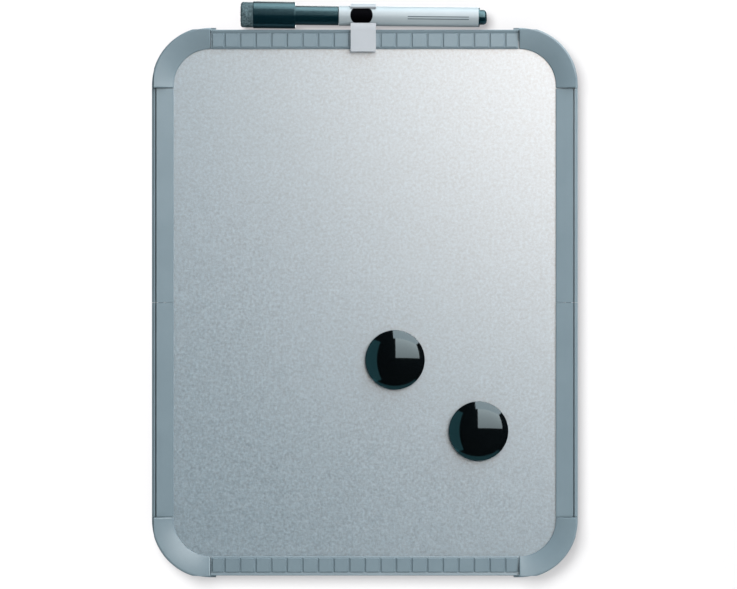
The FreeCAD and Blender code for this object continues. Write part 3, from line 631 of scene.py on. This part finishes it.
# %% Magnets
magnet_plastic, tree, shader = new_material("magnet_plastic", IOR=1.57, Specular_Tint=(0.75, 0.93, 1.0, 1))
grain = grain_of(tree, Grain=700.0, Rub=1400.0)
black = blend_colours(tree, grain["Tone"], (0.0008, 0.0012, 0.0015), (0.002, 0.003, 0.0035))
tree.links.new(black, shader.inputs["Base Color"])
tree.links.new(between(tree, grain["Marks"], 0.0, 1.0, 0.07, 0.11), shader.inputs["Roughness"])
bumped(tree, shader, grain["Height"], 0.04, 0.02 * MM)
turn = np.linspace(0, 2 * np.pi, 128, endpoint=False)
for number in ("1", "2"):
    low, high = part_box(f"magnet_{number}_dome")
    foot = ((low.x + high.x) / 2, high.y, (low.z + high.z) / 2)
    dome = turned(dome_profile[::-1], turn, foot, (0, -1, 0), (1, 0, 0))
    cover = grid_piece(f"magnet_{number}_cover", dome, f"magnet_{number}", magnet_plastic,
                       [f"magnet_{number}_dome"])
    linked_to(left_card, [cover], "EXCLUDE")
    linked_to(magnet_card, [cover], "INCLUDE")
magnet_ferrite = fibrous("magnet_ferrite", dark=(0.03, 0.03, 0.033), light=(0.075, 0.075, 0.08), rough=0.65,
                         depth=0.08 * MM, Fineness=2500.0, Stretch=0.9)
dress(magnet_ferrite, "magnet_1_disc", "magnet_2_disc")

# %% [markdown]
# The eraser in the end of the cap is a plug of pressed felt. Felt is lumpy and has no crisp edge, so the
# plug is turned from a profile with a large rounding. Its narrower shank fills the socket in the cap.

# %% Profile of the eraser
ERASER_END, ERASER_SEAT, SOCKET_FLOOR = -62.2 * MM, -55.8 * MM, -47.86 * MM
ERASER_RADIUS, SOCKET_RADIUS = 6.5 * MM, 5.34 * MM
SOFT_ROUND, FELT_POLE = 1.3 * MM, 0.15 * MM
axis = (math.cos(MARKER_TILT), 0, -math.sin(MARKER_TILT))
felt_profile = np.concatenate([
    np.stack([np.full(14, ERASER_END), np.linspace(FELT_POLE, ERASER_RADIUS - SOFT_ROUND, 14)], axis=-1),
    arc((ERASER_END + SOFT_ROUND, ERASER_RADIUS - SOFT_ROUND), SOFT_ROUND, 180, 90, 9)[1:],
    np.stack([np.linspace(ERASER_END + SOFT_ROUND, ERASER_SEAT, 14)[1:], np.full(13, ERASER_RADIUS)],
             axis=-1),
    [(ERASER_SEAT, SOCKET_RADIUS), (SOCKET_FLOOR, SOCKET_RADIUS), (SOCKET_FLOOR, POLE)],
])
turn = np.linspace(0, 2 * np.pi, 144, endpoint=False)
smooth_skin = turned(felt_profile, turn, MARKER_AXIS, axis, (0, -1, 0))
print("eraser profile of", len(felt_profile), "points")

# %% [markdown]
# The turned plug is still too even. A sum of waves along and round it, each with its own length, count and
# start, pushes the part that shows in and out by a fraction of a millimetre, away from a point inside the
# plug. The waves come from a seeded generator, so they are the same each time.

# %% Felt eraser
WAVES, LUMP_DEPTH, FELT_SINK = 18, 0.022 * MM, 0.16 * MM
rng = np.random.default_rng(7)
lumps = np.zeros((len(felt_profile), len(turn)))
for wave in range(WAVES):
    lengthwise, roundwise = rng.uniform(300, 1900), rng.integers(3, 26)
    along = lengthwise * (felt_profile[:, :1] + felt_profile[:, 1:])
    lumps += np.sin(along + roundwise * turn + rng.uniform(0, 6.3))
shown = (felt_profile[:, 0] < ERASER_SEAT - 0.1 * MM)[:, None]
heart = np.array(MARKER_AXIS) + np.array(axis) * (ERASER_SEAT - 1.5 * MM)
outward = smooth_skin - heart
outward /= np.linalg.norm(outward, axis=-1, keepdims=True)
skin = smooth_skin + outward * (lumps * LUMP_DEPTH - FELT_SINK)[..., None] * shown[..., None]
eraser_felt = fibrous("eraser_felt", dark=(0.002, 0.007, 0.010), light=(0.125, 0.186, 0.205), rough=0.95,
                      depth=0.35 * MM, Fineness=1300.0, Stretch=0.3)
eraser = grid_piece("eraser_felt", skin, "cap", eraser_felt, ["eraser_pad"])

# %% [markdown]
# Single fibres stand off the felt and soften its outline. Each one starts at a random point of the skin,
# leans along the surface in a random direction and lifts off it in a low bow: start + lean * length * t +
# normal * lift, where t runs from 0 to 1.

# %% Lines of the loose fibres
FIBRES, STEPS = 900, 4
FIBRE_ROOT, FIBRE_RADIUS = 0.04 * MM, 0.016 * MM
ring = rng.integers(4, np.count_nonzero(shown) - 1, FIBRES)
spoke = rng.integers(0, len(turn), FIBRES)
root = skin[ring, spoke]
normal = outward[ring, spoke]
lean = rng.normal(size=(FIBRES, 3))
lean -= normal * np.einsum("ij,ij->i", lean, normal)[:, None]
lean /= np.linalg.norm(lean, axis=1, keepdims=True)
side = np.cross(normal, lean)
length = rng.uniform(0.35, 0.8, FIBRES)[:, None, None] * MM
t = np.linspace(0, 1, STEPS)[None, :, None]
lift = np.minimum(0.3, 0.9 * t * (1.15 - t)) * length
line = root[:, None] - normal[:, None] * FIBRE_ROOT + lean[:, None] * t * length + normal[:, None] * lift
print(FIBRES, "lines, the longest", round(float(length.max() / MM), 2), "mm")

# %% [markdown]
# A line becomes a thread when a small triangle is carried along it, thinner towards its tip. Three sides and
# two ends are enough at this size, and all the threads together make one mesh.

# %% Loose fibres on the felt
thick = FIBRE_RADIUS * (1 - 0.7 * t)
third = 2 * np.pi / 3 * np.arange(3)
around = np.cos(third)[:, None] * normal[:, None, None] + np.sin(third)[:, None] * -side[:, None, None]
threads = (line[:, :, None] + thick[..., None] * around).reshape(-1, 3)
here = np.arange(3)
there = (here + 1) % 3
start = (np.arange(FIBRES)[:, None, None] * STEPS + np.arange(STEPS - 1)[:, None]) * 3
sides = np.stack([start + here, start + there, start + 3 + there, start + 3 + here], axis=-1).reshape(-1, 4)
first = np.arange(FIBRES) * STEPS * 3
last = first + (STEPS - 1) * 3
ends = np.concatenate([np.stack([first + 2, first + 1, first], axis=-1),
                       np.stack([last, last + 1, last + 2], axis=-1)])
mesh = bpy.data.meshes.new("eraser_fibres")
mesh.from_pydata(threads.tolist(), [], sides.tolist() + ends.tolist())
mesh.materials.append(eraser_felt)
fibres = bpy.data.objects.new("eraser_fibres", mesh)
bpy.context.scene.collection.objects.link(fibres)
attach(fibres, "cap")
triangles = np.concatenate([threads[sides[:, [0, 1, 2]]], threads[sides[:, [0, 2, 3]]], threads[ends]])
volume = signed_volume(triangles) * 1e9
print(FIBRES, "fibres,", len(mesh.polygons), "faces, volume", round(volume, 2), "mm3")

# %% [markdown]
# Four squares of foam tape hold the board on the wall. Foam is a crowd of small closed cells, which the
# Voronoi distance makes as a bump and a speckle, with a little dirt over it.

# %% Foam
CELL_SCALE, DIRT_SCALE = 1700.0, 120.0
pad_foam, tree, shader = new_material("pad_foam", Roughness=0.85, Specular_IOR_Level=0.25)
place = add(tree, "TexCoord").outputs["Object"]
cells = add(tree, "TexVoronoi", {"Vector": place, "Scale": CELL_SCALE}, feature="DISTANCE_TO_EDGE")
skin_cells = between(tree, cells.outputs["Distance"], 0.0, 0.22)
dirt = between(tree, noise(tree, place, DIRT_SCALE, 4.0, 0.6), 0.55, 0.75, 0.0, 0.35)
foam = blend_colours(tree, skin_cells, (0.42, 0.41, 0.38), (0.66, 0.65, 0.61))
tree.links.new(blend_colours(tree, dirt, foam, (0.45, 0.43, 0.39)), shader.inputs["Base Color"])
bumped(tree, shader, skin_cells, 0.5, 0.12 * MM)
print("material", pad_foam.name, "made")

# %% [markdown]
# Die-cut foam has rounded corners and sides that give a little between the two sticky faces. A pad is a
# rounded-square outline, a superellipse: each direction is divided by the n-th root of the sum of its parts
# to the power n. It is carried through the thickness while it swells slightly in the middle, and a few
# smaller copies of the outline cover the two faces.

# %% Foam pads
SQUARENESS, SWELL = 9.0, 0.028
turn = np.linspace(0, 2 * np.pi, 96, endpoint=False)
outline = np.stack([np.cos(turn), np.sin(turn)], axis=-1)
outline /= (np.abs(outline) ** SQUARENESS).sum(axis=-1, keepdims=True) ** (1 / SQUARENESS)
through = np.linspace(0, 1, 13)
swell = 1 - SWELL * (2 * through - 1) ** 2
inwards = np.array([0.04, 0.35, 0.7, 0.93])
depth = np.concatenate([np.zeros(4), through, np.ones(4)])
spread = np.concatenate([inwards * swell[0], swell, inwards[::-1] * swell[-1]])
for number in "1234":
    low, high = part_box(f"mounting_pad_{number}")
    half_x, half_z = (high.x - low.x) / 2, (high.z - low.z) / 2
    x = (low.x + high.x) / 2 + spread[:, None] * outline[None, :, 0] * half_x
    z = (low.z + high.z) / 2 + spread[:, None] * outline[None, :, 1] * half_z
    y = np.broadcast_to((low.y + depth * (high.y - low.y))[:, None], x.shape)
    grid = np.stack([x, y, z], axis=-1)[:, ::-1]
    pad = grid_piece(f"foam_pad_{number}", grid, "frame", pad_foam, [f"mounting_pad_{number}"],
                     sharp=50)
